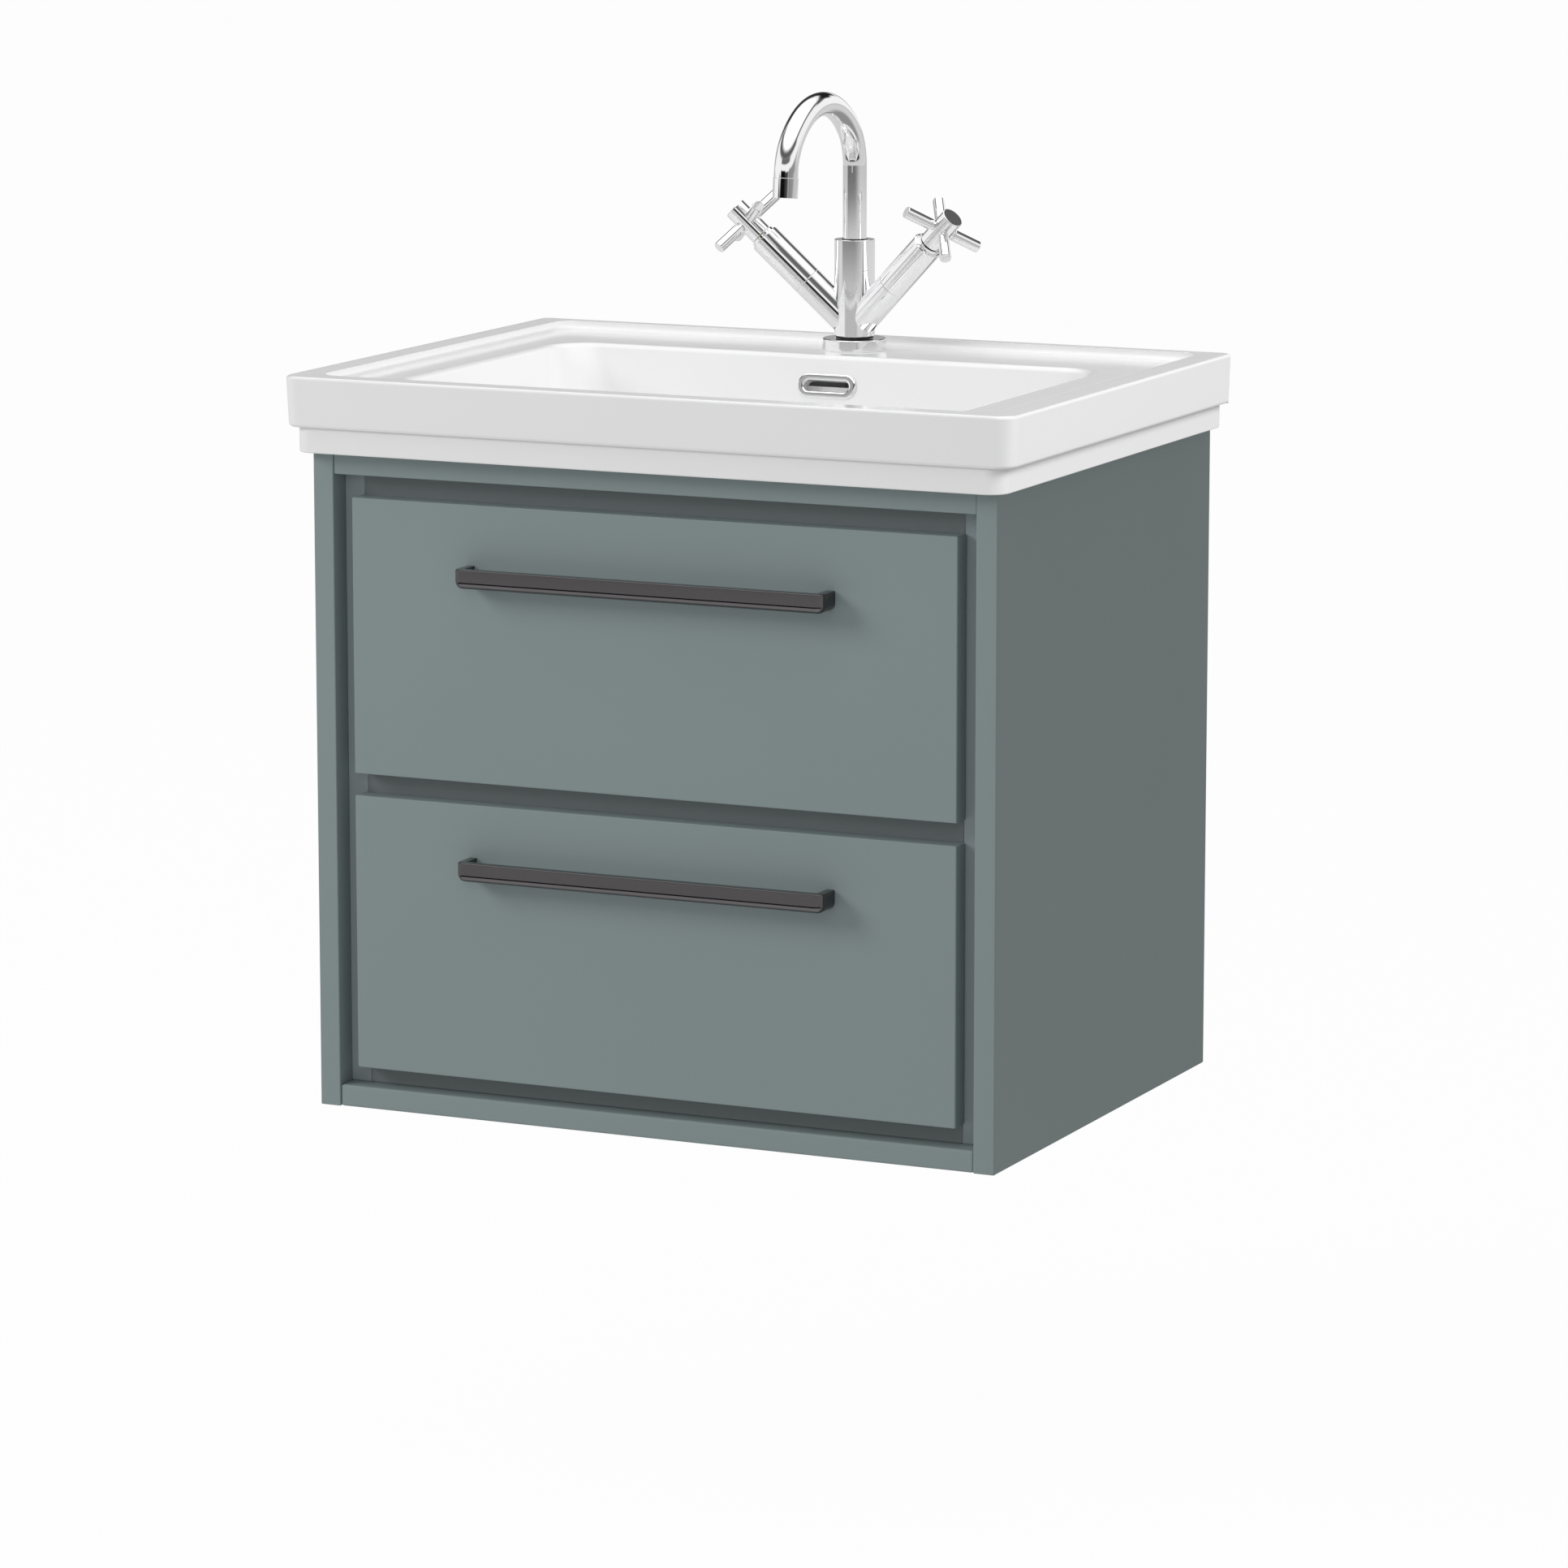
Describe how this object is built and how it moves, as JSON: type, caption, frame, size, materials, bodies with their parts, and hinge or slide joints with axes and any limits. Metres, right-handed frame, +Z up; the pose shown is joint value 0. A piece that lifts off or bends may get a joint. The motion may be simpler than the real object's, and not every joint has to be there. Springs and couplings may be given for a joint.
{
  "type": "bathroom vanity cabinet",
  "caption": "Wall-hung vanity cabinet with stacked drawers, bow handles, a stepped ceramic basin and a crosshead mixer tap with a swan-neck spout.",
  "frame": {"origin": "middle of the hanging rail's back face, on the wall plane", "axes": "+X to the right seen from the front, +Y into the wall, +Z up; the front looks along -Y"},
  "size_m": [0.6378, 0.4735, 0.8154],
  "materials": {
    "painted_board": "satin grey-green paint",
    "rail_board": "plain melamine",
    "drawer_board": "plain melamine",
    "beech": "turned, unfinished",
    "runner_steel": "zinc plated",
    "screw_steel": "zinc plated",
    "fixing_steel": "zinc plated",
    "guard_plastic": "moulded",
    "glazed_ceramic": "gloss white glaze",
    "seal_rubber": "moulded",
    "valve_brass": "turned",
    "handle_metal": "dark polished plating",
    "chrome": "polished plating"
  },
  "bodies": {
    "cabinet": {"basin": "glazed_ceramic", "bottom_inner_rail": "painted_board", "bottom_panel": "painted_board", "carcass_dowels": "beech", "hanging_rail": "rail_board", "left_runner_panel": "painted_board", "left_side_panel": "painted_board", "left_valve_sleeve": "chrome", "lower_back_rail": "rail_board", "lower_cabinet_runners": "runner_steel", "middle_inner_rail": "painted_board", "overflow_ring": "chrome", "right_runner_panel": "painted_board", "right_side_panel": "painted_board", "right_valve_sleeve": "chrome", "tap_base_ring": "chrome", "tap_body": "chrome", "tap_horseshoe": "fixing_steel", "tap_nut": "fixing_steel", "tap_stud": "fixing_steel", "top_front_rail": "painted_board", "top_inner_rail": "painted_board", "upper_cabinet_runners": "runner_steel", "valve_cartridges": "valve_brass", "waste_body": "chrome", "waste_nut": "fixing_steel", "waste_seal": "seal_rubber"},
    "upper_slide": {"upper_middle_runners": "runner_steel"},
    "lower_slide": {"lower_middle_runners": "runner_steel"},
    "upper_drawer": {"upper_drawer_back": "drawer_board", "upper_drawer_base": "drawer_board", "upper_drawer_front": "painted_board", "upper_drawer_inner_front": "drawer_board", "upper_drawer_left_side": "drawer_board", "upper_drawer_pipe_guard": "guard_plastic", "upper_drawer_right_side": "drawer_board", "upper_drawer_runners": "runner_steel", "upper_front_screws": "screw_steel", "upper_handle": "handle_metal", "upper_handle_screws": "screw_steel"},
    "lower_drawer": {"lower_drawer_back": "drawer_board", "lower_drawer_base": "drawer_board", "lower_drawer_front": "painted_board", "lower_drawer_inner_front": "drawer_board", "lower_drawer_left_side": "drawer_board", "lower_drawer_right_side": "drawer_board", "lower_drawer_runners": "runner_steel", "lower_front_screws": "screw_steel", "lower_handle": "handle_metal", "lower_handle_screws": "screw_steel"},
    "spout": {"tap_spout": "chrome", "spout_aerator": "chrome"},
    "hot_handle": {"left_spindle": "valve_brass", "left_handle_hub": "chrome", "left_handle_pins": "chrome"},
    "cold_handle": {"right_spindle": "valve_brass", "right_handle_hub": "chrome", "right_handle_pins": "chrome"},
    "plug": {"waste_plug": "chrome"}
  },
  "joints": [
    {"name": "upper_drawer_slide", "type": "slide", "parent": "cabinet", "child": "upper_drawer", "axis": [0, -1, 0], "range_m": [0, 0.35]},
    {"name": "lower_drawer_slide", "type": "slide", "parent": "cabinet", "child": "lower_drawer", "axis": [0, -1, 0], "range_m": [0, 0.35]},
    {"name": "upper_runner_slide", "type": "slide", "parent": "cabinet", "child": "upper_slide", "axis": [0, -1, 0], "range_m": [0, 0.175]},
    {"name": "lower_runner_slide", "type": "slide", "parent": "cabinet", "child": "lower_slide", "axis": [0, -1, 0], "range_m": [0, 0.175]},
    {"name": "spout_swivel", "type": "hinge", "parent": "cabinet", "child": "spout", "pos_m": [0, -0.053, 0.198], "axis": [0, 0, 1], "range_deg": [-60, 60]},
    {"name": "hot_turn", "type": "hinge", "parent": "cabinet", "child": "hot_handle", "pos_m": [0, -0.053, 0.123], "axis": [-0.6995, -0.1679, 0.6947], "range_deg": [0, 90]},
    {"name": "cold_turn", "type": "hinge", "parent": "cabinet", "child": "cold_handle", "pos_m": [0, -0.053, 0.123], "axis": [0.6995, -0.1679, 0.6947], "range_deg": [-90, 0]},
    {"name": "plug_lift", "type": "slide", "parent": "cabinet", "child": "plug", "axis": [0, 0, 1], "range_m": [0, 0.008]}
  ],
  "couplings": [
    {"joint": "upper_runner_slide", "follows": "upper_drawer_slide", "ratio": 0.5},
    {"joint": "lower_runner_slide", "follows": "lower_drawer_slide", "ratio": 0.5}
  ]
}
